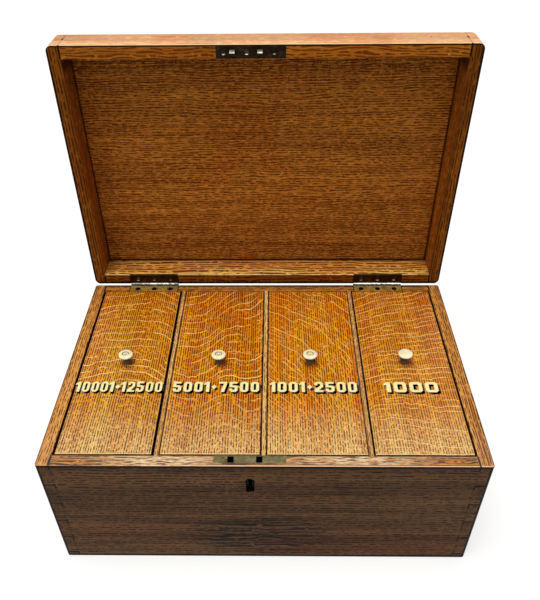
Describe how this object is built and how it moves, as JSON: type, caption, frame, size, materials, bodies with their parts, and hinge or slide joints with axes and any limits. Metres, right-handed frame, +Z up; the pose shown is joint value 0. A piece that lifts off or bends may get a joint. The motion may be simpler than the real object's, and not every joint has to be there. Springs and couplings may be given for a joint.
{
  "type": "alms box",
  "caption": "Oak box with a hinged, locking lid over a row of narrow compartments, each with a lift-out cover and a turned knob.",
  "frame": {"origin": "centre of the box's underside, on the surface that it stands on", "axes": "+Z up, +X to the right and +Y to the back, seen from the front where the keyhole is"},
  "size_m": [0.38, 0.2888, 0.3907],
  "materials": {
    "oak_case": "waxed dark oak",
    "oak_cover": "polished golden oak",
    "oak_lid": "polished brown oak",
    "bone": "turned, polished bone",
    "hinge_brass": "old, dull",
    "lock_brass": "old, dull",
    "bolt_steel": "filed",
    "screw_brass": "darkened"
  },
  "bodies": {
    "box": {"front_board": "oak_case", "back_board": "oak_case", "left_board": "oak_case", "right_board": "oak_case", "base_board": "oak_case", "divider_left": "oak_case", "divider_middle": "oak_case", "divider_right": "oak_case", "front_ledges": "oak_case", "back_ledges": "oak_case", "hinge_left_box_leaf": "hinge_brass", "hinge_right_box_leaf": "hinge_brass", "hinge_left_pin": "hinge_brass", "hinge_right_pin": "hinge_brass", "hinge_box_screws": "screw_brass", "lock_case": "lock_brass", "lock_cap_plate": "lock_brass", "lock_drill_pin": "lock_brass", "lock_spring": "lock_brass", "lock_screws": "screw_brass"},
    "lid": {"lid_front_rail": "oak_lid", "lid_back_rail": "oak_lid", "lid_left_rail": "oak_lid", "lid_right_rail": "oak_lid", "lid_top_board": "oak_lid", "hinge_left_lid_leaf": "hinge_brass", "hinge_right_lid_leaf": "hinge_brass", "hinge_lid_screws": "screw_brass", "link_plate": "lock_brass", "link_plate_screws": "screw_brass"},
    "bolt": {"lock_bolt": "bolt_steel"},
    "cover_1": {"compartment_cover_1": "oak_cover", "knob_1": "bone"},
    "cover_2": {"compartment_cover_2": "oak_cover", "knob_2": "bone"},
    "cover_3": {"compartment_cover_3": "oak_cover", "knob_3": "bone"},
    "cover_4": {"compartment_cover_4": "oak_cover", "knob_4": "bone"}
  },
  "joints": [
    {"name": "lid_hinge", "type": "hinge", "parent": "box", "child": "lid", "pos_m": [0, 0.1273, 0.13715], "axis": [-1, 0, 0], "range_deg": [-90, 0]},
    {"name": "bolt_slide", "type": "slide", "parent": "box", "child": "bolt", "axis": [1, 0, 0], "range_m": [-0.0065, 0]},
    {"name": "cover_1_lift", "type": "slide", "parent": "box", "child": "cover_1", "axis": [0, 0, 1], "range_m": [0, 0.06]},
    {"name": "cover_2_lift", "type": "slide", "parent": "box", "child": "cover_2", "axis": [0, 0, 1], "range_m": [0, 0.06]},
    {"name": "cover_3_lift", "type": "slide", "parent": "box", "child": "cover_3", "axis": [0, 0, 1], "range_m": [0, 0.06]},
    {"name": "cover_4_lift", "type": "slide", "parent": "box", "child": "cover_4", "axis": [0, 0, 1], "range_m": [0, 0.06]}
  ]
}
